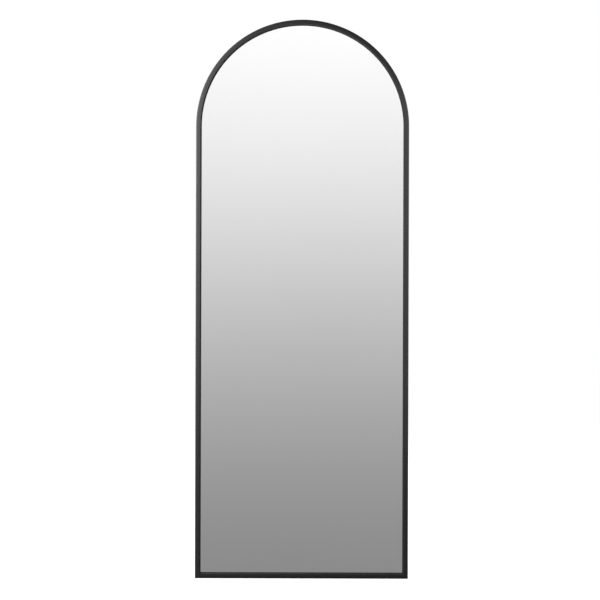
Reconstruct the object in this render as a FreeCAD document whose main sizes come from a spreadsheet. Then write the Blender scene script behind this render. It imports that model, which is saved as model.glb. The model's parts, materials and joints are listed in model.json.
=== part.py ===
import FreeCAD, Part

import os
import re

import Sketcher

# An arched wall mirror. A hollow frame rail is bent to leg, half circle and leg, and is mitred over corner
# keys to a straight bottom rail. Silvered glass lies behind the frame's lip on a gasket, taped to a backing
# board that turn buttons hold in the frame. Two ring hangers on the board carry the mirror.
# X runs to the right, Z runs up, the wall is the plane y = 0 and the glass faces -Y. The origin lies midway
# between the two wall hooks, so z = 0 is the line on which the raised rings hang.

# Driving dimensions, in millimetres and degrees
DIMENSIONS = {
    # Outline
    "overall_width": 610,
    "overall_height": 1600,
    "hook_drop": 300,
    "hook_inset": 105,
    # Frame rail
    "chamber_width": 9,
    "lip_width": 5,
    "rail_wall": 1.4,
    "edge_round": 3,
    "lip_round": 1.5,
    "front_reveal": 8,
    "hardware_recess": 6.5,
    # Corner keys and their set screws
    "key_leg": 45,
    "key_clearance": 0.15,
    "key_lead": 1,
    "key_screw_offset": 24,
    "set_screw_diameter": 3,
    "set_screw_length": 8,
    "set_screw_socket": 1.5,
    "socket_depth": 1.5,
    # Glass and the layers behind it
    "glass_thickness": 4,
    "glass_edge_gap": 1.5,
    "silver_thickness": 0.1,
    "film_thickness": 0.2,
    "film_setback": 2,
    "gasket_thickness": 1,
    "gasket_setback": 0.5,
    "block_length": 50,
    "block_spacing": 300,
    "tape_thickness": 1.2,
    "tape_width": 20,
    "tape_pitch": 100,
    "tape_end_gap": 40,
    "board_thickness": 9,
    "board_edge_gap": 1,
    # Turn buttons and their screws
    "button_thickness": 1.2,
    "button_reach": 16,
    "button_tip_radius": 2.2,
    "button_side_gap": 0.2,
    "button_margin": 200,
    "bottom_button_spacing": 300,
    "swivel_clearance": 0.1,
    "button_screw_diameter": 2.5,
    "button_screw_length": 8,
    "button_head_diameter": 5,
    "button_head_height": 2,
    # Ring hangers and their screws
    "ring_wire": 3,
    "ring_width": 24,
    "ring_corner": 4,
    "ring_side": 2,
    "ring_lean": 4,
    "ring_clearance": 0.1,
    "strap_sheet": 0.8,
    "strap_side_play": 1.5,
    "strap_hole_room": 3.25,
    "strap_hole_pitch": 14,
    "hanger_screw_diameter": 3.2,
    "hanger_screw_length": 8,
    "hanger_head_diameter": 6.5,
    "hanger_head_height": 2.2,
    "pilot_room": 0.5,
    "screw_clearance": 0.05,
    "head_round": 0.8,
    # Wall bumpers
    "bumper_standoff": 1.5,
    "bumper_base": 16,
    "bumper_top": 14,
    "bumper_round": 0.8,
    "bumper_inset": 60,
}

# Outline positions worked out from the driving dimensions
HALF = "(overall_width / 2)"
TOP = "hook_drop"
BOTTOM = "(hook_drop - overall_height)"
SPRING = f"({TOP} - {HALF})"
HOOK_X = f"({HALF} - hook_inset)"

# Levels along Y, each one further from the wall than the one before
RIM_BACK = "(-bumper_standoff)"
BOARD_BACK = f"({RIM_BACK} - hardware_recess)"
BOARD_FRONT = f"({BOARD_BACK} - board_thickness)"
FILM_BACK = f"({BOARD_FRONT} - tape_thickness)"
SILVER_BACK = f"({FILM_BACK} - film_thickness)"
GLASS_BACK = f"({SILVER_BACK} - silver_thickness)"
GLASS_FRONT = f"({GLASS_BACK} - glass_thickness)"
LIP_SEAT = f"({GLASS_FRONT} - gasket_thickness)"
FACE = f"({LIP_SEAT} - front_reveal)"

# Frame section sizes, measured in from the outer edge and back from the face
FACE_WIDTH = "(chamber_width + lip_width)"
CHAMBER_DEPTH = f"({BOARD_BACK} - {FACE})"
FRAME_DEPTH = f"({RIM_BACK} - {FACE})"
PIVOT_INSET = "((rail_wall + chamber_width) / 2)"
KEY_INSET = "(rail_wall + key_clearance)"
GLASS_INSET = "(chamber_width + glass_edge_gap)"

# Hanger sizes, measured from the axis on which a ring swings
RING_HALF = "(ring_width / 2)"
RING_BAR = f"({RING_HALF} - ring_corner)"
RING_DEPTH = f"(ring_corner + ring_side + {RING_HALF})"
RING_AXIS = f"(ring_wire / 2 - {RING_DEPTH})"
STRAP_BORE = "(ring_wire / 2 + ring_clearance)"
STRAP_LOOP = f"({STRAP_BORE} + strap_sheet)"
STRAP_TAIL = "(2 * strap_sheet)"
STRAP_HALF = f"({RING_BAR} - strap_side_play)"
STRAP_HOLE = f"({RING_DEPTH} + (ring_wire + hanger_head_diameter) / 2 + strap_hole_room)"
STRAP_HOLES = (STRAP_HOLE, f"({STRAP_HOLE} + strap_hole_pitch)")

# How far a cutting tool runs past the piece that it cuts, and how near counts as the same place
OVERRUN = "2"
NEAR = 0.001

# Polar angles about the centre of the arch, from the right-hand side
ARCH_BUTTONS = (("right", 45), ("top", 90), ("left", 135))
ARCH_BUMPERS = (45, 135)

SIDES = (("left", "-1"), ("right", "1"))
TAPE_COUNT = 5

# Point numbers of a sketch edge, and the sketch's own origin
START, END, CENTRE = 1, 2, 3
SKETCH_ORIGIN = (-1, 1)

Y_AXIS = FreeCAD.Vector(0, 1, 0)
X_AXIS = FreeCAD.Vector(1, 0, 0)
Z_AXIS = FreeCAD.Vector(0, 0, 1)

DOCUMENT = FreeCAD.newDocument("arched_wall_mirror")
SHEET = DOCUMENT.addObject("Spreadsheet::Sheet", "dims")
ALIASES = re.compile("|".join(rf"\b{name}\b" for name in DIMENSIONS))


def fill_sheet():
    """One row for each driving dimension: its name, and its value under an alias."""
    for row, (name, value) in enumerate(DIMENSIONS.items(), start=1):
        SHEET.set(f"A{row}", name)
        SHEET.set(f"B{row}", str(value))
        SHEET.setAlias(f"B{row}", name)
    DOCUMENT.recompute()


def formula(text):
    """An expression in which each driving dimension reads its own cell."""
    return ALIASES.sub(lambda found: f"dims.{found.group()}", str(text))


def number(text):
    """The present value of an expression."""
    return float(SHEET.evalExpression(formula(text)))


def new_body(name):
    return DOCUMENT.addObject("PartDesign::Body", name)


def put(item, x, y, z, axis=Z_AXIS, turn="0"):
    """Places an item, turned about an axis through its own origin."""
    item.Placement = FreeCAD.Placement(FreeCAD.Vector(), FreeCAD.Rotation(axis, number(turn)))
    for letter, text in zip("xyz", (x, y, z)):
        item.setExpression(f"Placement.Base.{letter}", formula(text))
    if turn != "0":
        item.setExpression("Placement.Rotation.Angle", formula(turn))


def sketch_on(body, name, plane, level="0"):
    """A sketch on one of the body's own planes, moved along that plane's normal to a level."""
    sketch = body.newObject("Sketcher::SketchObject", f"{body.Name}_{name}")
    support = next(item for item in body.Origin.OriginFeatures if item.Role == plane)
    sketch.AttachmentSupport = [(support, "")]
    sketch.MapMode = "FlatFace"
    sketch.setExpression("AttachmentOffset.Base.z", formula(level))
    return sketch


def hold(sketch, kind, geometry, point, text):
    """Holds one coordinate of a sketch point at an expression."""
    rule = Sketcher.Constraint(kind, *SKETCH_ORIGIN, geometry, point, number(text))
    place = sketch.addConstraint(rule)
    sketch.setExpression(f"Constraints[{place}]", formula(text))


def sketch_edge(corner, start, end):
    """A straight edge, or an anticlockwise arc where the corner also gives a centre."""
    if len(corner) == 2:
        return Part.LineSegment(start, end)
    centre = FreeCAD.Vector(number(corner[2]), number(corner[3]))
    circle = Part.Circle(centre, Z_AXIS, (start - centre).Length)
    return Part.ArcOfCircle(circle, circle.parameter(start), circle.parameter(end))


def draw(sketch, corners, closed=True):
    """Edges from corner to corner. A corner (x, y) starts a straight edge, and a corner
    (x, y, centre_x, centre_y) starts an anticlockwise arc."""
    points = [FreeCAD.Vector(number(corner[0]), number(corner[1])) for corner in corners]
    following = points[1:] + points[:1]
    count = len(corners) if closed else len(corners) - 1
    edges = [sketch.addGeometry(sketch_edge(corners[i], points[i], following[i])) for i in range(count)]
    for edge, after in zip(edges, edges[1:] + edges[:1] if closed else edges[1:]):
        sketch.addConstraint(Sketcher.Constraint("Coincident", edge, END, after, START))
    for edge, corner in zip(edges, corners):
        hold(sketch, "DistanceX", edge, START, corner[0])
        hold(sketch, "DistanceY", edge, START, corner[1])
    if not closed:
        hold(sketch, "DistanceX", edges[-1], END, corners[-1][0])
        hold(sketch, "DistanceY", edges[-1], END, corners[-1][1])
    for edge, corner, start, end in zip(edges, corners, points, following):
        if len(corner) == 2:
            continue
        chord = end - start
        if abs(chord.x) > abs(chord.y):
            hold(sketch, "DistanceY", edge, CENTRE, corner[3])
        else:
            hold(sketch, "DistanceX", edge, CENTRE, corner[2])


def draw_circle(sketch, x, y, radius):
    circle = Part.Circle(FreeCAD.Vector(number(x), number(y)), Z_AXIS, number(radius))
    geometry = sketch.addGeometry(circle)
    hold(sketch, "DistanceX", geometry, CENTRE, x)
    hold(sketch, "DistanceY", geometry, CENTRE, y)
    rule = sketch.addConstraint(Sketcher.Constraint("Radius", geometry, number(radius)))
    sketch.setExpression(f"Constraints[{rule}]", formula(radius))


def pad(body, sketch, length, reverse=False, both_ways=False):
    """Pads a sketch along its normal, backwards, or half each way."""
    feature = body.newObject("PartDesign::Pad", f"{sketch.Name}_pad")
    feature.Profile = sketch
    feature.setExpression("Length", formula(length))
    feature.Reversed = reverse
    if both_ways:
        feature.SideType = "Symmetric"
    DOCUMENT.recompute()


def pocket(body, sketch, depth):
    """Cuts a sketch into the body, from its level away from the wall."""
    before = body.Shape.Volume
    feature = body.newObject("PartDesign::Pocket", f"{sketch.Name}_pocket")
    feature.Profile = sketch
    feature.Reversed = True
    feature.setExpression("Length", formula(depth))
    DOCUMENT.recompute()
    if body.Shape.Volume >= before:
        raise RuntimeError(f"{feature.Name} cuts nothing")


def chamfer(body, edges, size):
    """Cuts a body's edges back at 45 degrees."""
    base = body.Tip
    feature = body.newObject("PartDesign::Chamfer", f"{body.Name}_chamfer")
    feature.Base = (base, edges)
    feature.setExpression("Size", formula(size))
    DOCUMENT.recompute()


def revolve(body, sketch):
    """Turns a sketch about its own vertical axis."""
    feature = body.newObject("PartDesign::Revolution", f"{sketch.Name}_turned")
    feature.Profile = sketch
    feature.ReferenceAxis = (sketch, ["V_Axis"])
    feature.Angle = 360
    DOCUMENT.recompute()


def sweep(body, section, path):
    """Sweeps a section along every edge of a path."""
    feature = body.newObject("PartDesign::AdditivePipe", f"{body.Name}_pipe")
    feature.Profile = section
    feature.Spine = (path, [f"Edge{i + 1}" for i in range(path.GeometryCount)])
    DOCUMENT.recompute()


def group(name, items):
    """One node that holds several separate solids."""
    compound = DOCUMENT.addObject("Part::Compound", name)
    compound.Links = items
    return compound


def copies(name, master, places):
    """One node of equal solids, each a copy of the master at its own place."""
    links = []
    for count, place in enumerate(places, start=1):
        link = DOCUMENT.addObject("App::Link", f"{name}_{count}")
        link.LinkedObject = master
        put(link, *place)
        links.append(link)
    return group(name, links)


def block(name, x, y, z, length, width, height):
    """A rectangular block, given by its lowest corner."""
    box = DOCUMENT.addObject("Part::Box", name)
    for size, text in (("Length", length), ("Width", width), ("Height", height)):
        box.setExpression(size, formula(text))
    put(box, x, y, z)
    return box


def rail_section(sketch, place):
    """The hollow frame section: a deep chamber, a lip over the glass and a thin skirt behind. The place
    function turns a distance in from the outer edge and one back from the face into sketch coordinates."""
    inner_lip = f"({FACE_WIDTH} - lip_round)"
    outline = [
        place("0", FRAME_DEPTH),
        place("rail_wall", FRAME_DEPTH),
        place("rail_wall", CHAMBER_DEPTH),
        place("chamber_width", CHAMBER_DEPTH),
        place("chamber_width", "front_reveal"),
        place(FACE_WIDTH, "front_reveal"),
        place(FACE_WIDTH, "lip_round") + place(inner_lip, "lip_round"),
        place(inner_lip, "0"),
        place("edge_round", "0") + place("edge_round", "edge_round"),
        place("0", "edge_round"),
    ]
    draw(sketch, outline)
    far = "(chamber_width - rail_wall)"
    back = f"({CHAMBER_DEPTH} - rail_wall)"
    chamber = [
        place("rail_wall", back),
        place(far, back),
        place(far, "rail_wall"),
        place("edge_round", "rail_wall") + place("edge_round", "edge_round"),
        place("rail_wall", "edge_round"),
    ]
    draw(sketch, chamber)
    near, far = "chamber_width", f"({FACE_WIDTH} - rail_wall)"
    front, back = "rail_wall", "(front_reveal - rail_wall)"
    draw(sketch, [place(near, front), place(far, front), place(far, back), place(near, back)])


def set_screw_places():
    """The x and z of each set screw: one in the leg and one in the bottom rail at each corner."""
    for _, sign in SIDES:
        yield f"{sign} * ({HALF} - chamber_width / 2)", f"({BOTTOM} + key_screw_offset)"
        yield f"{sign} * ({HALF} - key_screw_offset)", f"({BOTTOM} + chamber_width / 2)"


def button_sites():
    """The name, x and z of each turn button's pivot, and the polar angle at which it stands."""
    sites = []
    radius = f"({HALF} - {PIVOT_INSET})"
    low = f"({BOTTOM} + button_margin)"
    high = f"({SPRING} - button_margin)"
    heights = (("low", low), ("mid", f"(({low} + {high}) / 2)"), ("high", high))
    for (side, sign), angle in zip(SIDES, (180, 0)):
        for height, z in heights:
            sites.append((f"{side}_{height}", f"{sign} * {radius}", z, angle))
        x = f"{sign} * bottom_button_spacing / 2"
        sites.append((f"bottom_{side}", x, f"({BOTTOM} + {PIVOT_INSET})", 270))
    for name, angle in ARCH_BUTTONS:
        x = f"{radius} * cos({angle})"
        sites.append((f"arch_{name}", x, f"({SPRING} + {radius} * sin({angle}))", angle))
    return sites


def screw_holes(body, name, places, diameter, level, depth):
    """Round holes that run away from the wall, a little wider than the screws in them."""
    sketch = sketch_on(body, name, "XZ_Plane", f"-{level}")
    for x, z in places:
        draw_circle(sketch, x, z, f"({diameter} / 2 + screw_clearance)")
    pocket(body, sketch, depth)


def mitre(body, cut_leg):
    """Cuts both lower corners at 45 degrees: the ends of the legs, or the ends of the bottom rail."""
    sketch = sketch_on(body, "mitres", "XZ_Plane")
    low = f"({BOTTOM} - {OVERRUN})"
    high = f"({BOTTOM} + {FACE_WIDTH} + {OVERRUN})"
    for _, sign in SIDES:
        outer = f"{sign} * ({HALF} + {OVERRUN})"
        inner = f"{sign} * ({HALF} - {FACE_WIDTH} - {OVERRUN})"
        square = (inner, low) if cut_leg else (outer, high)
        draw(sketch, [(outer, low), square, (inner, high)])
    pocket(body, sketch, f"{OVERRUN} - {FACE}")


def arched_rail():
    body = new_body("arched_rail")
    path = sketch_on(body, "path", "XZ_Plane")
    corners = [(HALF, BOTTOM), (HALF, SPRING, "0", SPRING), (f"-{HALF}", SPRING), (f"-{HALF}", BOTTOM)]
    draw(path, corners, closed=False)
    section = sketch_on(body, "section", "XY_Plane", BOTTOM)
    rail_section(section, lambda inward, back: (f"({HALF} - {inward})", f"({FACE} + {back})"))
    sweep(body, section, path)
    mitre(body, cut_leg=True)
    leg_screws = list(set_screw_places())[0::2]
    pivots = [(x, z) for name, x, z, _ in button_sites() if not name.startswith("bottom")]
    screw_holes(body, "key_holes", leg_screws, "set_screw_diameter", BOARD_BACK, "2 * rail_wall")
    screw_holes(body, "button_holes", pivots, "button_screw_diameter", BOARD_BACK, "2 * rail_wall")
    return body


def bottom_rail():
    body = new_body("bottom_rail")
    section = sketch_on(body, "section", "YZ_Plane")
    rail_section(section, lambda inward, back: (f"({FACE} + {back})", f"({BOTTOM} + {inward})"))
    pad(body, section, "overall_width", both_ways=True)
    mitre(body, cut_leg=False)
    rail_screws = list(set_screw_places())[1::2]
    pivots = [(x, z) for name, x, z, _ in button_sites() if name.startswith("bottom")]
    screw_holes(body, "key_holes", rail_screws, "set_screw_diameter", BOARD_BACK, "2 * rail_wall")
    screw_holes(body, "button_holes", pivots, "button_screw_diameter", BOARD_BACK, "2 * rail_wall")
    return body


def key_edges(body, sign):
    """The key's two outer edges at the front, which follow the rounded corner of the chambers."""
    front = number(f"{FACE} + {KEY_INSET}")
    outer = number(f"{sign} * ({HALF} - {KEY_INSET})")
    foot = number(f"{BOTTOM} + {KEY_INSET}")
    names = []
    for index, edge in enumerate(body.Shape.Edges, start=1):
        middle = edge.CenterOfMass
        along = abs(middle.x - outer) < NEAR or abs(middle.z - foot) < NEAR
        if along and abs(middle.y - front) < NEAR:
            names.append(f"Edge{index}")
    return names


def corner_key(side, sign, screws):
    """An L that fills the chambers of both rails at one mitre, with tapered ends and two tapped holes."""
    body = new_body(f"corner_key_{side}")
    near = KEY_INSET
    far = f"(chamber_width - {KEY_INSET})"
    end = "key_leg"
    taper = f"({end} - key_lead)"
    along = [
        (near, near),
        (taper, near),
        (end, f"({near} + key_lead)"),
        (end, f"({far} - key_lead)"),
        (taper, far),
    ]
    upward = [(inward, up) for up, inward in reversed(along[1:])]
    outline = along + [(far, far)] + upward
    sketch = sketch_on(body, "outline", "XZ_Plane", f"-({BOARD_BACK} - {KEY_INSET})")
    draw(sketch, [(f"{sign} * ({HALF} - {inward})", f"({BOTTOM} + {up})") for inward, up in outline])
    pad(body, sketch, f"{CHAMBER_DEPTH} - 2 * {KEY_INSET}")
    chamfer(body, key_edges(body, sign), f"edge_round - {KEY_INSET}")
    depth = f"set_screw_length + pilot_room - {KEY_INSET}"
    screw_holes(body, "tapped_holes", screws, "set_screw_diameter", f"({BOARD_BACK} - {KEY_INSET})", depth)
    return body


def set_screw():
    """A headless screw along Y with its end at y = 0 and a hexagon socket in that end."""
    body = new_body("set_screw")
    shank = sketch_on(body, "shank", "XZ_Plane")
    draw_circle(shank, "0", "0", "set_screw_diameter / 2")
    pad(body, shank, "set_screw_length")
    socket = sketch_on(body, "socket", "XZ_Plane")
    radius = "set_screw_socket / (2 * cos(30))"
    turns = range(0, 360, 60)
    draw(socket, [(f"{radius} * cos({turn})", f"{radius} * sin({turn})") for turn in turns])
    pocket(body, socket, "socket_depth")
    return body


def pan_screw(kind):
    """A screw of one kind along Y, with a rounded pan head that seats at y = 0."""
    body = new_body(f"{kind}_screw")
    diameter = f"{kind}_screw_diameter"
    length = f"{kind}_screw_length"
    head_diameter = f"{kind}_head_diameter"
    head_height = f"{kind}_head_height"
    sketch = sketch_on(body, "profile", "XY_Plane")
    shoulder = f"({head_height} - head_round)"
    crown = f"({head_diameter} / 2 - head_round)"
    profile = [
        ("0", f"-{length}"),
        (f"{diameter} / 2", f"-{length}"),
        (f"{diameter} / 2", "0"),
        (f"{head_diameter} / 2", "0"),
        (f"{head_diameter} / 2", shoulder, crown, shoulder),
        (crown, head_height),
        ("0", head_height),
    ]
    draw(sketch, profile)
    revolve(body, sketch)
    return body


def arch_outline(inset):
    """The frame's own outline, moved inwards by an inset."""
    half = f"({HALF} - {inset})"
    foot = f"({BOTTOM} + {inset})"
    return [(f"-{half}", foot), (half, foot), (half, SPRING, "0", SPRING), (f"-{half}", SPRING)]


def arch_sheet(name, inset, back, thickness, hollow=None):
    """A flat sheet with the arched outline, or a flat band where an inner inset is given too."""
    body = new_body(name)
    sketch = sketch_on(body, "outline", "XZ_Plane", f"-{back}")
    draw(sketch, arch_outline(inset))
    if hollow:
        draw(sketch, arch_outline(hollow))
    pad(body, sketch, thickness)
    return body


def glazing():
    """The gasket behind the lip, the glass, its silver and its film, from front to back."""
    gasket_outer = "(chamber_width + gasket_setback)"
    gasket_inner = f"({FACE_WIDTH} - gasket_setback)"
    film_inset = f"({GLASS_INSET} + film_setback)"
    return [
        arch_sheet("glazing_gasket", gasket_outer, GLASS_FRONT, "gasket_thickness", gasket_inner),
        arch_sheet("mirror_glass", GLASS_INSET, GLASS_BACK, "glass_thickness"),
        arch_sheet("silver_coating", GLASS_INSET, SILVER_BACK, "silver_thickness"),
        arch_sheet("safety_film", film_inset, FILM_BACK, "film_thickness"),
    ]


def setting_blocks():
    """Two pads that carry the lower edge of the glass on the bottom rail."""
    blocks = []
    for side, sign in SIDES:
        x = f"{sign} * block_spacing / 2 - block_length / 2"
        z = f"{BOTTOM} + chamber_width"
        size = ("block_length", "glass_thickness", "glass_edge_gap")
        blocks.append(block(f"setting_block_{side}", x, GLASS_FRONT, z, *size))
    return group("setting_blocks", blocks)


def bonding_tapes():
    """Upright strips between the film and the board."""
    tapes = []
    first = f"(-tape_pitch * {TAPE_COUNT - 1} / 2)"
    z = f"{BOTTOM} + tape_end_gap"
    size = ("tape_width", "tape_thickness", f"{SPRING} - {BOTTOM} - tape_end_gap")
    for count in range(TAPE_COUNT):
        x = f"{first} + {count} * tape_pitch - tape_width / 2"
        tapes.append(block(f"bonding_tape_{count + 1}", x, FILM_BACK, z, *size))
    return group("bonding_tapes", tapes)


def hanger_screw_places():
    """The x and z of each hanger screw."""
    for _, sign in SIDES:
        for hole in STRAP_HOLES:
            yield f"{sign} * {HOOK_X}", f"({RING_AXIS} - {hole})"


def backing_board():
    body = arch_sheet("backing_board", "(chamber_width + board_edge_gap)", BOARD_BACK, "board_thickness")
    depth = f"hanger_screw_length - {STRAP_TAIL} + pilot_room"
    screw_holes(body, "pilot_holes", hanger_screw_places(), "hanger_screw_diameter", BOARD_BACK, depth)
    return body


def turn_button(name, x, z, angle):
    """A tapered plate that swivels on its screw, from its wide heel to a narrow tip over the board."""
    body = new_body(f"turn_button_{name}")
    heel = "((chamber_width - rail_wall) / 2 - button_side_gap)"
    lean = f"(({heel} - button_tip_radius) / button_reach)"
    rise = f"sqrt(1 - {lean}^2)"
    heel_x, heel_z = f"({heel} * {lean})", f"({heel} * {rise})"
    tip_x, tip_z = f"(button_reach + button_tip_radius * {lean})", f"(button_tip_radius * {rise})"
    sketch = sketch_on(body, "outline", "XZ_Plane")
    outline = [
        (heel_x, f"-{heel_z}"),
        (tip_x, f"-{tip_z}", "button_reach", "0"),
        (tip_x, tip_z),
        (heel_x, heel_z, "0", "0"),
    ]
    draw(sketch, outline)
    draw_circle(sketch, "0", "0", "(button_screw_diameter / 2 + swivel_clearance)")
    pad(body, sketch, "button_thickness", reverse=True)
    put(body, x, f"{BOARD_BACK} + swivel_clearance", z, Y_AXIS, str(180 - angle))
    return body


def hanger_strap(side, sign):
    """A strap folded round the ring's bar: a rolled loop on the swing axis, and a flat tail with holes."""
    body = new_body(f"hanger_strap_{side}")
    tail_face = f"({STRAP_LOOP} - {STRAP_TAIL})"
    throat = f"sqrt({STRAP_LOOP}^2 - {tail_face}^2)"
    roll = sketch_on(body, "roll", "YZ_Plane")
    profile = [
        (f"-{STRAP_LOOP}", f"-{throat}"),
        (f"-{tail_face}", f"-{throat}", "0", "0"),
        (f"-{STRAP_LOOP}", "0"),
    ]
    draw(roll, profile)
    draw_circle(roll, "0", "0", STRAP_BORE)
    pad(body, roll, f"2 * {STRAP_HALF}", both_ways=True)
    tail = sketch_on(body, "tail", "XZ_Plane", tail_face)
    last_hole = f"(-{STRAP_HOLES[-1]})"
    outline = [
        (f"-{STRAP_HALF}", last_hole, "0", last_hole),
        (STRAP_HALF, last_hole),
        (STRAP_HALF, f"-{throat}"),
        (f"-{STRAP_HALF}", f"-{throat}"),
    ]
    draw(tail, outline)
    for hole in STRAP_HOLES:
        draw_circle(tail, "0", f"-{hole}", "(hanger_screw_diameter / 2 + screw_clearance)")
    pad(body, tail, STRAP_TAIL)
    put(body, f"{sign} * {HOOK_X}", f"{BOARD_BACK} + {STRAP_LOOP}", RING_AXIS)
    return body


def hanger_ring(side, sign):
    """A wire ring, straight in its strap and round below, which hangs clear of the strap's tail."""
    body = new_body(f"hanger_ring_{side}")
    path = sketch_on(body, "path", "XZ_Plane")
    shoulder = "(-ring_corner)"
    waist = "(-ring_corner - ring_side)"
    corners = [
        (RING_BAR, "0"),
        (f"-{RING_BAR}", "0", f"-{RING_BAR}", shoulder),
        (f"-{RING_HALF}", shoulder),
        (f"-{RING_HALF}", waist, "0", waist),
        (RING_HALF, waist),
        (RING_HALF, shoulder, RING_BAR, shoulder),
    ]
    draw(path, corners)
    wire = sketch_on(body, "wire", "YZ_Plane", RING_BAR)
    draw_circle(wire, "0", "0", "ring_wire / 2")
    sweep(body, wire, path)
    put(body, f"{sign} * {HOOK_X}", f"{BOARD_BACK} + {STRAP_LOOP}", RING_AXIS, X_AXIS, "ring_lean")
    return body


def wall_bumper():
    """A tapered rubber foot along Y, from its glued base at y = 0 to a flat end."""
    body = new_body("wall_bumper")
    sketch = sketch_on(body, "profile", "XY_Plane")
    height = "(hardware_recess + bumper_standoff)"
    shoulder = f"({height} - bumper_round)"
    crown = "(bumper_top / 2 - bumper_round)"
    profile = [
        ("0", "0"),
        ("bumper_base / 2", "0"),
        ("bumper_top / 2", shoulder, crown, shoulder),
        (crown, height),
        ("0", height),
    ]
    draw(sketch, profile)
    revolve(body, sketch)
    return body


def bumper_places():
    """Two feet above the lower corners and two under the arch."""
    for _, sign in SIDES:
        yield f"{sign} * ({HALF} - bumper_inset)", BOARD_BACK, f"{BOTTOM} + bumper_inset"
    for angle in ARCH_BUMPERS:
        radius = f"({HALF} - bumper_inset)"
        yield f"{radius} * cos({angle})", BOARD_BACK, f"{SPRING} + {radius} * sin({angle})"


def frame_nodes():
    screws = list(set_screw_places())
    nodes = [arched_rail(), bottom_rail()]
    for index, (side, sign) in enumerate(SIDES):
        nodes.append(corner_key(side, sign, screws[2 * index:2 * index + 2]))
    places = [(x, BOARD_BACK, z) for x, z in screws]
    nodes.append(copies("corner_key_screws", set_screw(), places))
    return nodes


def button_nodes():
    sites = button_sites()
    nodes = [turn_button(*site) for site in sites]
    seat = f"{BOARD_BACK} + button_thickness + 2 * swivel_clearance"
    places = [(x, seat, z) for _, x, z, _ in sites]
    nodes.append(copies("turn_button_screws", pan_screw("button"), places))
    return nodes


def hanger_nodes():
    nodes = [hanger_strap(*side) for side in SIDES] + [hanger_ring(*side) for side in SIDES]
    places = [(x, f"{BOARD_BACK} + {STRAP_TAIL}", z) for x, z in hanger_screw_places()]
    nodes.append(copies("hanger_screws", pan_screw("hanger"), places))
    return nodes


def check(nodes):
    """Stops the build if any object failed, or if a node has no valid solid."""
    for item in DOCUMENT.Objects:
        if "Invalid" in item.State or "Error" in item.State:
            raise RuntimeError(f"{item.Name} failed: {item.State}")
    for node in nodes:
        if node.Shape.isNull() or not node.Shape.isValid() or not node.Shape.Solids:
            raise RuntimeError(f"{node.Label} has no valid solid")


def build():
    fill_sheet()
    nodes = frame_nodes() + glazing()
    nodes += [setting_blocks(), bonding_tapes(), backing_board()]
    nodes += button_nodes() + hanger_nodes()
    nodes.append(copies("wall_bumpers", wall_bumper(), bumper_places()))
    DOCUMENT.recompute()
    check(nodes)
    os.makedirs("parts", exist_ok=True)
    for node in nodes:
        node.Shape.exportStep(f"parts/{node.Label}.step")
        print(f"{node.Label}: {len(node.Shape.Solids)} solids, {node.Shape.Volume:.1f} mm3")


build()
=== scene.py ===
import json
import math

import bmesh
import bpy
from mathutils import Matrix, Vector


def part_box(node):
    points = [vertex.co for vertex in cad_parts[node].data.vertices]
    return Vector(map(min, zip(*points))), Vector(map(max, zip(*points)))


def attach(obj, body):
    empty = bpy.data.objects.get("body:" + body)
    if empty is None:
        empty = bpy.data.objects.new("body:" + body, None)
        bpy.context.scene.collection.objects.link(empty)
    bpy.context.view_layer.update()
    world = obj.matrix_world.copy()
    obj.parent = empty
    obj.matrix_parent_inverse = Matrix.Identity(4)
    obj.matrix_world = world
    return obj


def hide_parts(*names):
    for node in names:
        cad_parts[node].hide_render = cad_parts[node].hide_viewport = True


# The looks of an arched wall mirror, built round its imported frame. Every length is in metres.

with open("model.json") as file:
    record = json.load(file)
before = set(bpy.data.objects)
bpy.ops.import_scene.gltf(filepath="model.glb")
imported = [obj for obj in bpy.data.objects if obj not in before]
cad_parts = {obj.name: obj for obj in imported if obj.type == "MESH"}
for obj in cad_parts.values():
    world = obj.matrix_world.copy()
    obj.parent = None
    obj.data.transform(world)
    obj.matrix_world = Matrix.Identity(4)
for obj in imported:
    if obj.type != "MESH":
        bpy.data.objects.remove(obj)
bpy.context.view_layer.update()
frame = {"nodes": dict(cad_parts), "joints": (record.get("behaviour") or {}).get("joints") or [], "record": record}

# The picture that the camera matches, in pixels, and the camera, with its sensor in millimetres
PICTURE_SIZE = 600
PICTURE_CENTRE = (300, 300)
OBJECT_CENTRE = (302.15, 299.1)
OBJECT_HEIGHT_PIXELS = 559.2
CAMERA_DISTANCE = 4.5
CAMERA_ROLL = math.radians(0.17)
SENSOR_WIDTH = 36

# The frame rail's section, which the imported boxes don't give: its widths, wall and rounded edges
CHAMBER_WIDTH = 0.009
LIP_WIDTH = 0.005
RAIL_WALL = 0.0014
EDGE_ROUND = 0.003
LIP_ROUND = 0.0015

# The eased edges of the rail's back and of the board
EASED_EDGE = 0.0004

# The lower corners: their rounding outside, and the hairline of each mitre
CORNER_ROUND = 0.0015
MITRE_GAP = 0.00008

# How finely round stretches are divided, and the angle from which an edge is sharp
ARCH_STEPS = 96
CORNER_STEPS = 4
ROUND_STEPS = 6
ROLL_STEPS = 48
SCREW_SIDES = 48
BEVEL_STEPS = 2
SHARP_ANGLE = math.radians(40)

# Points nearer than this are one point, in a mesh as it is built and before its edges are softened
NEAR = 1e-7
WELD_REACH = 1e-6

# The screws: radius of the shank, radius of the head and height of the head
BUTTON_SCREW = {"shank": 0.00125, "radius": 0.0025, "height": 0.002}
HANGER_SCREW = {"shank": 0.0016, "radius": 0.00325, "height": 0.0022}

# How much of a head's height is straight, and how far each screw is turned from the one before
HEAD_SIDE_SHARE = 0.4
SCREW_TURN = math.radians(137)

# A screw's cross recess, as shares of its head's radius and height, and its foot as a share of its top
RECESS_REACH_SHARE = 0.62
RECESS_ARM_SHARE = 0.17
RECESS_DEPTH_SHARE = 0.62
RECESS_FOOT_SHARE = 0.55

# The corner keys' screws: their radius, and their distance from each lower corner
KEY_SCREW_RADIUS = 0.0015
KEY_SCREW_OFFSET = 0.024

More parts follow.
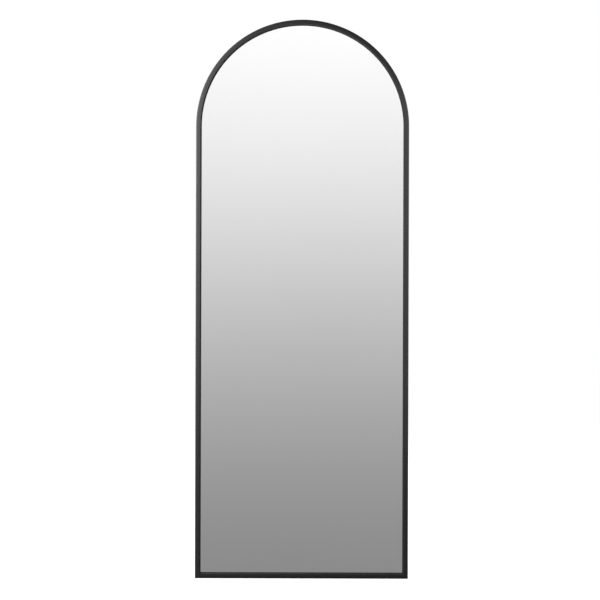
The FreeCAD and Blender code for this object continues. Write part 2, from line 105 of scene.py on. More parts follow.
# How far the hangers' screws are below the axis of each ring
HANGER_SCREW_DROPS = (0.026, 0.04)

# The holes: their room round a screw, and how far they are drilled into a rail or past a screw's tip
HOLE_ROOM = 0.00005
DRILL_REACH = 1.5 * RAIL_WALL
PILOT_ROOM = 0.0005

# The hangers' straps: their sheet, the hairline between its two plies and the bend into the roll
STRAP_SHEET = 0.0008
PLY_GAP = 0.00003
THROAT_ROUND = 0.0005

# The soft edge of cut sheet metal, on the straps and the turn buttons
SHEET_EDGE = 0.00018

# The gasket's soft bead, which shows as a thin black line between the lip and the glass
BEAD_WIDTH = 0.0017
BEAD_ROUND = 0.0006

# The glass, and how far the silvering reaches into it, so that no gap shows between them
GLASS_IOR = 1.52
SILVER_OVERLAP = 0.00005

# The backing board's fibres: their number to a metre, length for width, turns in degrees and cloudiness
FIBRE_SCALE = 3600
FIBRE_LENGTH = 8
FIBRE_TURNS = (12, 51, 85, 124, 160)
FIBRE_CLOUDS = 0.3

# The studio's brightness, as a display value: its level straight ahead, and how it bends up and down
STUDIO_LEVEL = 0.787
STUDIO_SLOPE = 1.73
STUDIO_BEND = 12.5
STUDIO_REACH = 0.205
DISPLAY_GAMMA = 2.2

# How the studio goes on past that: lighter towards the floor, darker overhead
FLOOR_RISE = 0.4
FLOOR_FOOT = -0.95
OVERHEAD_SHARE = 0.2
OVERHEAD_START = 0.5

# The even light from all round
AMBIENT_STRENGTH = 0.14

# The lamps: where each stands and points, its screen, its power, and whether reflections show it
LAMPS = {
    "left_lamp": {
        "place": (-0.8, -0.23, -0.16),
        "aim": (0, 0, -0.48),
        "wide": 0.12,
        "tall": 1.05,
        "watts": 24.5,
        "mirrored": False,
    },
    "right_lamp": {
        "place": (0.5, -0.1, -0.38),
        "aim": (0, 0, -0.46),
        "wide": 0.12,
        "tall": 1.1,
        "watts": 3.0,
        "mirrored": False,
    },
    "rear_lamp": {
        "place": (1.5, 3, 2.2),
        "aim": (0, 0, -0.6),
        "wide": 1.6,
        "tall": 1.6,
        "watts": 235,
        "mirrored": True,
    },
}

# The floor: its reach each way, its glow to the camera, and the light that it shows and sends back
FLOOR_REACH = 12
FLOOR_GLOW = 0.97
FLOOR_SHADE = 0.25
FLOOR_BOUNCE = 0.2
FLOOR_ROUGHNESS = 0.9


def box_of(nodes):
    """Lowest and highest corner of several frame nodes together."""
    corners = [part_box(node) for node in nodes]
    low = Vector([min(box[0][i] for box in corners) for i in range(3)])
    high = Vector([max(box[1][i] for box in corners) for i in range(3)])
    return low, high


def joint_places(kind):
    """The place of each joint of a kind, by the name of its site."""
    places = {}
    for joint in frame["joints"]:
        first, *site, _ = joint["name"].split("_")
        if first == kind:
            places["_".join(site)] = Vector(joint["pos_m"])
    return places


def new_material(name):
    """A material with a Principled shader, and its node tree and shader."""
    material = bpy.data.materials.new(name)
    material.use_nodes = True
    tree = material.node_tree
    return material, tree, tree.nodes["Principled BSDF"]


def add(tree, kind, **settings):
    """A node of a kind, with its properties set."""
    node = tree.nodes.new(kind)
    for name, value in settings.items():
        setattr(node, name, value)
    return node


def arith(tree, operation, *values):
    """A sum over numbers and other nodes' outputs."""
    node = add(tree, "ShaderNodeMath", operation=operation)
    for socket, value in zip(node.inputs, values):
        if isinstance(value, (int, float)):
            socket.default_value = value
        else:
            tree.links.new(value, socket)
    return node.outputs[0]


def noise(tree, scale, detail=3.0, roughness=0.55, stretch=(1, 1, 1), turn=0):
    """Noise in the object's own metres, drawn out along each axis and turned about Y by some degrees."""
    place = add(tree, "ShaderNodeTexCoord")
    mapping = add(tree, "ShaderNodeMapping", vector_type="TEXTURE")
    mapping.inputs["Rotation"].default_value = (0, math.radians(turn), 0)
    mapping.inputs["Scale"].default_value = stretch
    texture = add(tree, "ShaderNodeTexNoise")
    texture.inputs["Scale"].default_value = scale
    texture.inputs["Detail"].default_value = detail
    texture.inputs["Roughness"].default_value = roughness
    tree.links.new(place.outputs["Object"], mapping.inputs["Vector"])
    tree.links.new(mapping.outputs["Vector"], texture.inputs["Vector"])
    return texture.outputs["Fac"]


def span(tree, value, low, high, start=0.3, end=0.7):
    """A value's middle range spread over low to high."""
    node = add(tree, "ShaderNodeMapRange")
    tree.links.new(value, node.inputs["Value"])
    for name, number in (("From Min", start), ("From Max", end), ("To Min", low), ("To Max", high)):
        node.inputs[name].default_value = number
    return node.outputs["Result"]


def grey(level):
    """A colour with no hue, as red, green and blue."""
    return (level, level, level)


def colours(tree, value, first, second, start=0.3, end=0.7):
    """A value's middle range as a blend of two colours."""
    ramp = add(tree, "ShaderNodeValToRGB")
    tree.links.new(value, ramp.inputs["Fac"])
    for element, place, colour in zip(ramp.color_ramp.elements, (start, end), (first, second)):
        element.position = place
        element.color = (*colour, 1)
    return ramp.outputs["Color"]


def bump(tree, shader, height, distance, strength):
    """Small relief, in metres of height."""
    node = add(tree, "ShaderNodeBump")
    node.inputs["Strength"].default_value = strength
    node.inputs["Distance"].default_value = distance
    tree.links.new(height, node.inputs["Height"])
    tree.links.new(node.outputs["Normal"], shader.inputs["Normal"])


def dress(tree, shader, colour, roughness):
    """Gives a shader its colour and its roughness."""
    tree.links.new(colour, shader.inputs["Base Color"])
    tree.links.new(roughness, shader.inputs["Roughness"])


def powder_coat():
    """Satin black powder coat: a fine, slightly grainy skin."""
    material, tree, shader = new_material("powder_coat")
    tone = colours(tree, noise(tree, scale=1500, detail=2), grey(0.034), grey(0.056))
    dress(tree, shader, tone, span(tree, noise(tree, scale=60), low=0.72, high=0.80))
    shader.inputs["Specular IOR Level"].default_value = 0.12
    shader.distribution = "GGX"
    bump(tree, shader, noise(tree, scale=1100, detail=2), distance=0.00006, strength=0.8)
    return material


def clear_glass():
    """Clear, almost colourless float glass."""
    material, tree, shader = new_material("clear_glass")
    tone = colours(tree, noise(tree, scale=2, detail=1), (0.985, 0.99, 0.987), (0.99, 0.994, 0.991))
    tree.links.new(tone, shader.inputs["Base Color"])
    shader.inputs["Transmission Weight"].default_value = 1
    shader.inputs["IOR"].default_value = GLASS_IOR
    shader.inputs["Roughness"].default_value = 0
    return material


def mirror_silver():
    """The silvering behind the glass: a clean, colourless reflection."""
    material, tree, shader = new_material("mirror_silver")
    tone = colours(tree, noise(tree, scale=2, detail=1), grey(0.96), grey(0.97))
    tree.links.new(tone, shader.inputs["Base Color"])
    shader.inputs["Metallic"].default_value = 1
    shader.inputs["Roughness"].default_value = 0
    return material


def fibreboard():
    """Raw medium-density fibreboard: pale brown, felted from short fibres that lie every way."""
    material, tree, shader = new_material("fibreboard")
    drawn = {"detail": 1, "roughness": 0.5, "stretch": (1, 1, FIBRE_LENGTH)}
    layers = [noise(tree, FIBRE_SCALE, turn=turn, **drawn) for turn in FIBRE_TURNS]
    felt = layers[0]
    for layer in layers[1:]:
        felt = arith(tree, "MAXIMUM", felt, layer)
    cloudy = arith(tree, "MULTIPLY_ADD", noise(tree, scale=90), FIBRE_CLOUDS, felt)
    tone = colours(tree, cloudy, (0.31, 0.205, 0.125), (0.47, 0.34, 0.22), start=0.66, end=0.94)
    dress(tree, shader, tone, span(tree, noise(tree, scale=40), low=0.78, high=0.9))
    bump(tree, shader, felt, distance=0.00008, strength=0.5)
    return material


def zinc_plate():
    """Bright zinc plating on rolled steel, very slightly cloudy."""
    material, tree, shader = new_material("zinc_plate")
    tone = colours(tree, noise(tree, scale=160, detail=2), (0.63, 0.64, 0.65), (0.72, 0.73, 0.74))
    dress(tree, shader, tone, span(tree, noise(tree, scale=700), low=0.24, high=0.33))
    shader.inputs["Metallic"].default_value = 1
    bump(tree, shader, noise(tree, scale=2500, detail=2), distance=0.00001, strength=0.4)
    return material


def rubber():
    """Matte black moulded rubber."""
    material, tree, shader = new_material("rubber")
    grain = noise(tree, scale=1800)
    tone = colours(tree, grain, grey(0.015), grey(0.036))
    dress(tree, shader, tone, span(tree, grain, low=0.55, high=0.7))
    bump(tree, shader, grain, distance=0.00006, strength=0.7)
    return material


def black_oxide():
    """Blackened steel of the set screws."""
    material, tree, shader = new_material("black_oxide")
    clouds = noise(tree, scale=900)
    tone = colours(tree, clouds, (0.05, 0.05, 0.052), (0.08, 0.08, 0.083))
    dress(tree, shader, tone, span(tree, clouds, low=0.38, high=0.5))
    shader.inputs["Metallic"].default_value = 1
    return material


def mill_aluminium():
    """Plain extruded aluminium, drawn along its length."""
    material, tree, shader = new_material("mill_aluminium")
    streaks = noise(tree, scale=400, roughness=0.6, stretch=(1, 20, 1))
    tone = colours(tree, streaks, (0.62, 0.62, 0.63), (0.74, 0.74, 0.75))
    dress(tree, shader, tone, span(tree, streaks, low=0.3, high=0.45))
    shader.inputs["Metallic"].default_value = 1
    return material


def pale_plastic():
    """Off-white film and foam tape behind the glass."""
    material, tree, shader = new_material("pale_plastic")
    weave = noise(tree, scale=500, detail=2)
    tone = colours(tree, weave, (0.70, 0.70, 0.69), (0.80, 0.80, 0.79))
    dress(tree, shader, tone, span(tree, weave, low=0.5, high=0.65))
    return material


def slot_finishes():
    """The finish of each material slot."""
    finishes = {
        "frame_finish": powder_coat(),
        "key_alloy": mill_aluminium(),
        "dark_steel": black_oxide(),
        "gasket_rubber": rubber(),
        "clear_glass": clear_glass(),
        "silvering": mirror_silver(),
        "fibreboard": fibreboard(),
        "zinc_steel": zinc_plate(),
        "film_plastic": pale_plastic(),
    }
    finishes["tape_foam"] = finishes["film_plastic"]
    finishes["bumper_rubber"] = finishes["gasket_rubber"]
    return finishes


def paint_nodes(finishes):
    """Gives each frame node the finish of its material slot."""
    for part in frame["record"]["subparts"]:
        materials = frame["nodes"][part["node"]].data.materials
        materials.clear()
        materials.append(finishes[part["material_slot"]])


def piece_of(name, mesh, material, slot, *nodes):
    """A new piece of the mirror's own body, which stands for some of the frame's nodes."""
    mesh.materials.clear()
    mesh.materials.append(material)
    mesh.shade_smooth()
    mesh.set_sharp_from_angle(angle=SHARP_ANGLE)
    piece = bpy.data.objects.new(name, mesh)
    bpy.context.scene.collection.objects.link(piece)
    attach(piece, "mirror")
    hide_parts(*nodes)
    return piece


def soften(piece, width):
    """Rounds the cut edges of a piece of sheet or board."""
    piece.modifiers.new("join", "WELD").merge_threshold = WELD_REACH
    edge = piece.modifiers.new("soft_edge", "BEVEL")
    edge.width = width
    edge.segments = BEVEL_STEPS
    edge.limit_method = "ANGLE"
    edge.angle_limit = SHARP_ANGLE
    edge.harden_normals = True


def finished(shape, name):
    """A mesh from a bmesh, its normals outward."""
    bmesh.ops.recalc_face_normals(shape, faces=shape.faces)
    mesh = bpy.data.meshes.new(name)
    shape.to_mesh(mesh)
    shape.free()
    return mesh


def combined(mesh, tool, operation):
    """A mesh cut by a tool, or what both have in common."""
    objects = [bpy.data.objects.new(item.name, item) for item in (mesh, tool)]
    for item in objects:
        bpy.context.scene.collection.objects.link(item)
    change = objects[0].modifiers.new("cut", "BOOLEAN")
    change.object = objects[1]
    change.operation = operation
    change.solver = "EXACT"
    view = bpy.context.evaluated_depsgraph_get()
    result = bpy.data.meshes.new_from_object(objects[0].evaluated_get(view))
    for item in objects:
        bpy.data.objects.remove(item)
    for old in (mesh, tool):
        bpy.data.meshes.remove(old)
    shape = bmesh.new()
    shape.from_mesh(result)
    bmesh.ops.remove_doubles(shape, verts=shape.verts, dist=NEAR)
    bmesh.ops.dissolve_degenerate(shape, edges=shape.edges, dist=NEAR)
    shape.to_mesh(result)
    shape.free()
    return result


def turns(start, end, steps):
    """Angles in even steps from one to another, given in degrees and returned in radians."""
    return [math.radians(start + (end - start) * step / steps) for step in range(steps + 1)]


def arc(height, radius, start, end, steps):
    """Points (x, z) round a centre on the middle line, between two angles in degrees."""
    angles = turns(start, end, steps)
    return [(radius * math.cos(turn), height + radius * math.sin(turn)) for turn in angles]


def rounded(corners):
    """A closed loop through corners (x, y, radius), each rounded by its radius."""
    points = []
    for index, (x, y, radius) in enumerate(corners):
        corner = Vector((x, y))
        if radius == 0:
            points.append(corner)
            continue
        before = (Vector(corners[index - 1][:2]) - corner).normalized()
        after = (Vector(corners[(index + 1) % len(corners)][:2]) - corner).normalized()
        half = before.angle(after) / 2
        centre = corner + (before + after).normalized() * radius / math.sin(half)
        first = (corner + before * radius / math.tan(half) - centre).normalized()
        last = (corner + after * radius / math.tan(half) - centre).normalized()
        for step in range(ROUND_STEPS + 1):
            points.append(centre + radius * first.slerp(last, step / ROUND_STEPS))
    return points


def bend(x, z, radius, start, end, steps):
    """Places along a bend of the rail's outline round a centre. Each takes (inward, y) to a point, and
    past the centre it goes on along the diagonal of a mitre."""

    def place_at(turn):
        def place(inward, y):
            reach, past = max(radius - inward, 0), max(inward - radius, 0)
            along = math.copysign(past, -x) if x else 0
            return Vector((x + along + reach * math.cos(turn), y, z + past + reach * math.sin(turn)))

        return place

    return [place_at(turn) for turn in turns(start, end, steps)]


def mitre(x, z):
    """The place at a square lower corner of the outline, along the diagonal of its mitre."""
    return lambda inward, y: Vector((x - math.copysign(inward, x), y, z + inward))


def shifted(place, x, z):
    """A place along a rail, moved a little."""
    return lambda inward, y: place(inward, y) + Vector((x, 0, z))


def sweep(name, places, loops, ring=False):
    """A closed tube of several loops through places, joined into a ring or capped at both ends."""
    shape = bmesh.new()
    for loop in loops:
        rings = [[shape.verts.new(place(*point)) for point in loop] for place in places]
        if ring:
            rings.append(rings[0])
        for first, second in zip(rings, rings[1:]):
            for index in range(len(loop)):
                shape.faces.new((first[index - 1], first[index], second[index], second[index - 1]))
    bmesh.ops.remove_doubles(shape, verts=shape.verts, dist=NEAR)
    rims = [edge for edge in shape.edges if edge.is_boundary]
    for sign in (-1, 1):
        end = [edge for edge in rims if edge.verts[0].co.x * sign > 0]
        bmesh.ops.triangle_fill(shape, use_beauty=True, edges=end)
    return finished(shape, name)


def slab(name, outline, front, back):
    """A closed plate with an outline of (x, z) points, between two levels of y."""
    shape = bmesh.new()
    near, far = [[shape.verts.new((x, y, z)) for x, z in outline] for y in (front, back)]
    shape.faces.new(near)
    shape.faces.new(reversed(far))
    for index in range(len(outline)):
        shape.faces.new((near[index - 1], near[index], far[index], far[index - 1]))
    return finished(shape, name)


def drills(holes, start, end):
    """Cylinders along Y for holes given as (x, z, radius)."""
    shape = bmesh.new()
    turn = Matrix.Rotation(math.pi / 2, 4, "X")
    for x, z, radius in holes:
        place = Matrix.Translation((x, (start + end) / 2, z)) @ turn
        size = {"radius1": radius, "radius2": radius, "depth": end - start}
        bmesh.ops.create_cone(shape, cap_ends=True, segments=SCREW_SIDES, matrix=place, **size)
    return finished(shape, "drills")


def rail_loops(face, lip_seat, board_back, rim):
    """The rail's section as loops of (inward, y): its outline, its chamber and the hollow of its lip."""
    width = CHAMBER_WIDTH + LIP_WIDTH
    outline = [
        (0, rim, EASED_EDGE),
        (RAIL_WALL, rim, EASED_EDGE),
        (RAIL_WALL, board_back, 0),
        (CHAMBER_WIDTH, board_back, EASED_EDGE),
        (CHAMBER_WIDTH, lip_seat, 0),
        (width, lip_seat, EASED_EDGE),
        (width, face, LIP_ROUND),
        (0, face, EDGE_ROUND),
    ]
    front, far = face + RAIL_WALL, CHAMBER_WIDTH - RAIL_WALL
    back, lip_back = board_back - RAIL_WALL, lip_seat - RAIL_WALL
    chamber = [
        (RAIL_WALL, back, 0),
        (far, back, 0),
        (far, front, 0),
        (RAIL_WALL, front, EDGE_ROUND - RAIL_WALL),
    ]
    lip_end = width - RAIL_WALL
    lip = [
        (CHAMBER_WIDTH, front, 0),
        (lip_end, front, 0),
        (lip_end, lip_back, 0),
        (CHAMBER_WIDTH, lip_back, 0),
    ]
    return [rounded(loop) for loop in (outline, chamber, lip)]


def rail_places(half, foot, spring):
    """The places along the arched rail and along the bottom rail, a hairline apart at the mitres."""
    side, rise = half - CORNER_ROUND, foot + CORNER_ROUND
    arch = bend(side, rise, CORNER_ROUND, -45, 0, CORNER_STEPS)
    arch += bend(0, spring, half, 0, 180, ARCH_STEPS)
    arch += bend(-side, rise, CORNER_ROUND, 180, 225, CORNER_STEPS)
    bottom = bend(-side, rise, CORNER_ROUND, 225, 270, CORNER_STEPS)
    bottom += bend(side, rise, CORNER_ROUND, 270, 315, CORNER_STEPS)
    for end in (0, -1):
        arch[end] = shifted(arch[end], 0, MITRE_GAP)
    bottom[0] = shifted(bottom[0], MITRE_GAP, 0)
    bottom[-1] = shifted(bottom[-1], -MITRE_GAP, 0)
    return {"arched_rail": arch, "bottom_rail": bottom}


def rail_holes(half, foot, pivots):
    """The screw holes in the back of each rail, as (x, z, radius)."""
    key_hole = KEY_SCREW_RADIUS + HOLE_ROOM
    button_hole = BUTTON_SCREW["shank"] + HOLE_ROOM
    middle = CHAMBER_WIDTH / 2
    holes = {"arched_rail": [], "bottom_rail": []}
    for sign in (-1, 1):
        holes["arched_rail"].append((sign * (half - middle), foot + KEY_SCREW_OFFSET, key_hole))
        holes["bottom_rail"].append((sign * (half - KEY_SCREW_OFFSET), foot + middle, key_hole))
    for site, pivot in pivots.items():
        rail = "bottom_rail" if site.startswith("bottom") else "arched_rail"
        holes[rail].append((pivot.x, pivot.z, button_hole))
    return holes


def frame_rails(low, high, spring, pivots, coat):
    """The arched rail and the bottom rail, smooth round the arch and eased at their mitred corners."""
    lip_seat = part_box("glazing_gasket")[0].y
    board_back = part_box("backing_board")[1].y
    loops = rail_loops(low.y, lip_seat, board_back, high.y)
    holes = rail_holes(high.x, low.z, pivots)
    for node, places in rail_places(high.x, low.z, spring).items():
        tool = drills(holes[node], board_back - DRILL_REACH, board_back + RAIL_WALL)
        mesh = combined(sweep(node, places, loops), tool, "DIFFERENCE")
        piece_of(f"{node}_coated", mesh, coat, "frame_finish", node)


def beaded_gasket(half, foot, spring, black):
    """The gasket between the frame's lip and the glass, with its soft bead round the opening."""
    low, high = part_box("glazing_gasket")
    start, end = half - high.x, CHAMBER_WIDTH + LIP_WIDTH + BEAD_WIDTH
    section = [(start, high.y, 0), (end, high.y, 0), (end, low.y, BEAD_ROUND), (start, low.y, 0)]
    places = [mitre(half, foot), *bend(0, spring, half, 0, 180, ARCH_STEPS), mitre(-half, foot)]
    mesh = sweep("glazing_gasket", places, [rounded(section)], ring=True)
    piece_of("glazing_gasket_beaded", mesh, black, "gasket_rubber", "glazing_gasket")


def arched_sheet(node, spring, overlap=0):
    """A frame node's flat arched sheet, smooth round the arch, which may reach a little forward."""
    low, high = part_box(node)
    half = high.x
    outline = [(-half, low.z), (half, low.z), *arc(spring, half, 0, 180, ARCH_STEPS)]
    return slab(node, outline, low.y - overlap, high.y)


def glazing(spring, glass, silver):
    """The pane of glass, and its silvering set a hair into the back of it."""
    pane = arched_sheet("mirror_glass", spring)
    piece_of("mirror_pane", pane, glass, "clear_glass", "mirror_glass")
    sheet = arched_sheet("silver_coating", spring, SILVER_OVERLAP)
    piece_of("mirror_silvering", sheet, silver, "silvering", "silver_coating")


def backing_panel(spring, places, board):
    """The backing board, with eased edges and a pilot hole for each screw of the hangers."""
    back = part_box("backing_board")[1].y
    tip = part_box("hanger_screws")[0].y
    radius = HANGER_SCREW["shank"] + HOLE_ROOM
    tool = drills([(x, z, radius) for x, z in places], tip - PILOT_ROOM, back + PILOT_ROOM)
    mesh = combined(arched_sheet("backing_board", spring), tool, "DIFFERENCE")
    soften(piece_of("backing_panel", mesh, board, "fibreboard", "backing_board"), EASED_EDGE)


def strap_fold(loop, tail):
    """The folded strap seen from the side, as (y, z) from the ring's axis: one ply up along the board,
    round the ring's bar in a roll, and back down over itself to the tail's end."""
    # How far the middle of each ply lies from the ring's axis
    roll, over = loop - STRAP_SHEET / 2, loop - 3 * STRAP_SHEET / 2
    throat = THROAT_ROUND + STRAP_SHEET / 2
    centre = Vector((throat - over, -math.sqrt((roll + throat) ** 2 - (throat - over) ** 2)))
    meet = math.degrees(math.atan2(centre.y, centre.x))
    line = [(Vector((-roll, tail)), Vector((-1, 0)))]
    for turn in turns(180, meet, ROLL_STEPS):
        outward = Vector((math.cos(turn), math.sin(turn)))
        line.append((roll * outward, outward))
    for turn in turns(meet + 180, 180, ROUND_STEPS)[1:]:
        outward = -Vector((math.cos(turn), math.sin(turn)))
        line.append((centre - throat * outward, outward))
    line.append((Vector((-over, tail)), Vector((1, 0))))
    half = (STRAP_SHEET - PLY_GAP) / 2
    outer = [point + half * outward for point, outward in line]
    inner = [point - half * outward for point, outward in reversed(line)]
    return outer + inner


def folded_strap(side, axis, zinc):
    """One hanger's strap: a sheet folded round the ring's bar, with a rounded tail and screw holes."""
    node = f"hanger_strap_{side}"
    low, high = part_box(node)
    half, loop, tail = (high.x - low.x) / 2, high.z - axis.z, low.z - axis.z
    # The folded sheet starts wider and longer than the strap, and the strap's outline trims it
    ends = [lambda y, z, x=x: Vector((x, y, z)) for x in (-2 * half, 2 * half)]
    sheet = sweep(node, ends, [strap_fold(loop, tail - half)])
    outline = [(half, 2 * loop), (-half, 2 * loop), *arc(tail + half, half, 180, 360, ROLL_STEPS)]
    mesh = combined(sheet, slab("tail", outline, -2 * loop, 2 * loop), "INTERSECT")
    radius = HANGER_SCREW["shank"] + HOLE_ROOM
    holes = [(0, -drop, radius) for drop in HANGER_SCREW_DROPS]
    mesh = combined(mesh, drills(holes, -2 * loop, 2 * loop), "DIFFERENCE")
    mesh.transform(Matrix.Translation(axis))
    soften(piece_of(f"{node}_folded", mesh, zinc, "zinc_steel", node), SHEET_EDGE)


def cross_recess(radius, height):
    """The tool for a cross recess in a screw's head, wide at the top and narrow at the bottom."""
    reach, arm = radius * RECESS_REACH_SHARE, radius * RECESS_ARM_SHARE
    quarter = [(reach, -arm), (reach, arm), (arm, arm)]
    outline = []
    for turn in range(4):
        spin = Matrix.Rotation(turn * math.pi / 2, 2)
        outline += [spin @ Vector(corner) for corner in quarter]
    shape = bmesh.new()
    rings = []
    depth = height * RECESS_DEPTH_SHARE
    for y, share in ((height - depth, RECESS_FOOT_SHARE), (height + depth, 2 - RECESS_FOOT_SHARE)):
        rings.append([shape.verts.new((x * share, y, z * share)) for x, z in outline])
    for ring in rings:
        shape.faces.new(ring)
    lower, upper = rings
    for index in range(len(outline)):
        shape.faces.new((lower[index - 1], lower[index], upper[index], upper[index - 1]))
    return finished(shape, "recess")


def pan_screw(shank, radius, height, length):
    """A screw along Y that seats at y = 0: a straight shank, a domed head and a cross recess."""
    side = height * HEAD_SIDE_SHARE
    profile = [(0, -length), (shank, -length), (shank, 0), (radius, 0), (radius, side)]
    for step in range(1, ROUND_STEPS + 1):
        turn = math.pi / 2 * step / ROUND_STEPS
        profile.append((radius * math.cos(turn), side + (height - side) * math.sin(turn)))
    shape = bmesh.new()
    points = [shape.verts.new((x, y, 0)) for x, y in profile]
    line = [shape.edges.new(pair) for pair in zip(points, points[1:])]
    turned = {"cent": (0, 0, 0), "axis": (0, 1, 0), "angle": math.tau, "steps": SCREW_SIDES}
    bmesh.ops.spin(shape, geom=points + line, **turned)
    bmesh.ops.remove_doubles(shape, verts=shape.verts, dist=NEAR)
    return combined(finished(shape, "screw"), cross_recess(radius, height), "DIFFERENCE")


def screw_set(node, size, places, zinc):
    """All the screws of one node, each turned its own way."""
    low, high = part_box(node)
    seat = high.y - size["height"]
    master = pan_screw(length=seat - low.y, **size)
    shape = bmesh.new()
    for index, (x, z) in enumerate(places):
        before = len(shape.verts)
        shape.from_mesh(master)
        shape.verts.ensure_lookup_table()
        place = Matrix.Translation((x, seat, z)) @ Matrix.Rotation(index * SCREW_TURN, 4, "Y")
        bmesh.ops.transform(shape, matrix=place, verts=shape.verts[before:])
    bpy.data.meshes.remove(master)
    piece_of(f"{node}_crosshead", finished(shape, node), zinc, "zinc_steel", node)


def studio_picture(tree):
    """What reflections show, as a strength by height: a studio that goes from white above to grey below,
    with a lighter floor and a darker ceiling."""
    place = add(tree, "ShaderNodeTexCoord")
    parts = add(tree, "ShaderNodeSeparateXYZ")
    tree.links.new(place.outputs["Generated"], parts.inputs["Vector"])
    height = parts.outputs["Z"]
    rise = arith(tree, "MINIMUM", arith(tree, "MAXIMUM", height, -STUDIO_REACH), STUDIO_REACH)
    squared = arith(tree, "MULTIPLY", rise, rise)
    slope = arith(tree, "MULTIPLY_ADD", squared, -STUDIO_BEND, STUDIO_SLOPE)
    level = arith(tree, "MULTIPLY_ADD", rise, slope, STUDIO_LEVEL)
    down = span(tree, height, low=1, high=0, start=FLOOR_FOOT, end=-STUDIO_REACH)
    floor = arith(tree, "MULTIPLY", down, arith(tree, "SUBTRACT", 2, down))
    lifted = arith(tree, "MULTIPLY_ADD", floor, FLOOR_RISE, level)
    glow = arith(tree, "POWER", lifted, DISPLAY_GAMMA)
    overhead = span(tree, height, low=1, high=OVERHEAD_SHARE, start=STUDIO_REACH, end=OVERHEAD_START)
    return arith(tree, "MULTIPLY", glow, overhead)


def studio_world():
    """White behind the object, an even dome of light on it, and the studio in its reflections."""
    world = bpy.data.worlds.new("studio")
    bpy.context.scene.world = world
    world.use_nodes = True
    tree = world.node_tree
    backdrop = tree.nodes["Background"]
    path = add(tree, "ShaderNodeLightPath").outputs
    shiny = arith(tree, "MAXIMUM", path["Is Glossy Ray"], path["Is Transmission Ray"])
    extra = arith(tree, "SUBTRACT", studio_picture(tree), AMBIENT_STRENGTH)
    light = arith(tree, "MULTIPLY_ADD", shiny, extra, AMBIENT_STRENGTH)
    strength = arith(tree, "MAXIMUM", light, path["Is Camera Ray"])
    backdrop.inputs["Color"].default_value = (1, 1, 1, 1)
    tree.links.new(strength, backdrop.inputs["Strength"])


def soft_lamp(name, place, aim, wide, tall, watts, mirrored):
    """A lamp behind a rectangular screen that points at a spot, and that shiny surfaces may show."""
    data = bpy.data.lights.new(name, "AREA")
    data.shape = "RECTANGLE"
    data.size = wide
    data.size_y = tall
    data.energy = watts
    lamp = bpy.data.objects.new(name, data)
    lamp.location = place
    lamp.rotation_euler = (Vector(aim) - Vector(place)).to_track_quat("-Z", "Y").to_euler()
    lamp.visible_glossy = mirrored
    lamp.visible_transmission = mirrored
    bpy.context.scene.collection.objects.link(lamp)


def floor_white():
    """The floor's surface: it glows to the camera until it is white, apart from its shadows, and sends a
    little light back to the object."""
    material, tree, bounce = new_material("floor_white")
    bounce.inputs["Base Color"].default_value = (*grey(FLOOR_BOUNCE), 1)
    bounce.inputs["Roughness"].default_value = FLOOR_ROUGHNESS
    glow = add(tree, "ShaderNodeEmission")
    glow.inputs["Strength"].default_value = FLOOR_GLOW
    shade = add(tree, "ShaderNodeBsdfDiffuse")
    shade.inputs["Color"].default_value = (*grey(FLOOR_SHADE), 1)
    white = add(tree, "ShaderNodeAddShader")
    tree.links.new(glow.outputs["Emission"], white.inputs[0])
    tree.links.new(shade.outputs["BSDF"], white.inputs[1])
    path = add(tree, "ShaderNodeLightPath")
    blend = add(tree, "ShaderNodeMixShader")
    tree.links.new(path.outputs["Is Camera Ray"], blend.inputs["Fac"])
    tree.links.new(bounce.outputs["BSDF"], blend.inputs[1])
    tree.links.new(white.outputs["Shader"], blend.inputs[2])
    tree.links.new(blend.outputs["Shader"], tree.nodes["Material Output"].inputs["Surface"])
    return material


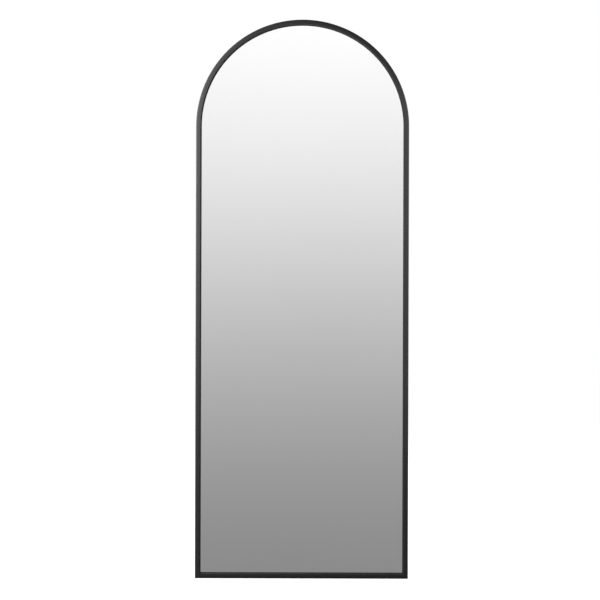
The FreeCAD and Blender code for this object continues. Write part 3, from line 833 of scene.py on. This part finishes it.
def pale_floor(level):
    """A wide pale floor at the mirror's foot, which the mirror doesn't show."""
    mesh = bpy.data.meshes.new("floor")
    far = FLOOR_REACH
    corners = [(-far, -far, level), (far, -far, level), (far, far, level), (-far, far, level)]
    mesh.from_pydata(corners, [], [(0, 1, 2, 3)])
    mesh.materials.append(floor_white())
    floor = bpy.data.objects.new("floor", mesh)
    floor.visible_glossy = False
    floor.visible_transmission = False
    bpy.context.scene.collection.objects.link(floor)


def photo_camera(low, high):
    """A camera square to the mirror, placed so that its outline falls where the picture has it."""
    data = bpy.data.cameras.new("camera")
    camera = bpy.data.objects.new("camera", data)
    scene = bpy.context.scene
    scene.collection.objects.link(camera)
    scene.camera = camera
    pixel = (high.z - low.z) / OBJECT_HEIGHT_PIXELS
    data.sensor_width = SENSOR_WIDTH
    data.lens = SENSOR_WIDTH * CAMERA_DISTANCE / (pixel * PICTURE_SIZE)
    centre = (low + high) / 2
    right = OBJECT_CENTRE[0] - PICTURE_CENTRE[0]
    down = OBJECT_CENTRE[1] - PICTURE_CENTRE[1]
    camera.location = (centre.x - right * pixel, low.y - CAMERA_DISTANCE, centre.z + down * pixel)
    camera.rotation_euler = (math.pi / 2, -CAMERA_ROLL, 0)


# The measures that the pieces share
low, high = box_of(["arched_rail", "bottom_rail"])
pivots = joint_places("button")
rings = joint_places("ring")
spring = pivots["arch_top"].z - pivots["right_low"].x
button_places = [(pivot.x, pivot.z) for pivot in pivots.values()]
hanger_places = [(ring.x, ring.z - drop) for ring in rings.values() for drop in HANGER_SCREW_DROPS]

# The mirror
finishes = slot_finishes()
paint_nodes(finishes)
frame_rails(low, high, spring, pivots, finishes["frame_finish"])
beaded_gasket(high.x, low.z, spring, finishes["gasket_rubber"])
glazing(spring, finishes["clear_glass"], finishes["silvering"])
backing_panel(spring, hanger_places, finishes["fibreboard"])
screw_set("turn_button_screws", BUTTON_SCREW, button_places, finishes["zinc_steel"])
screw_set("hanger_screws", HANGER_SCREW, hanger_places, finishes["zinc_steel"])
for side, axis in rings.items():
    folded_strap(side, axis, finishes["zinc_steel"])
for site in pivots:
    soften(frame["nodes"][f"turn_button_{site}"], SHEET_EDGE)

# The studio
studio_world()
for name, lamp in LAMPS.items():
    soft_lamp(name, **lamp)
pale_floor(low.z)
photo_camera(low, high)
bpy.context.scene.view_settings.view_transform = "Standard"
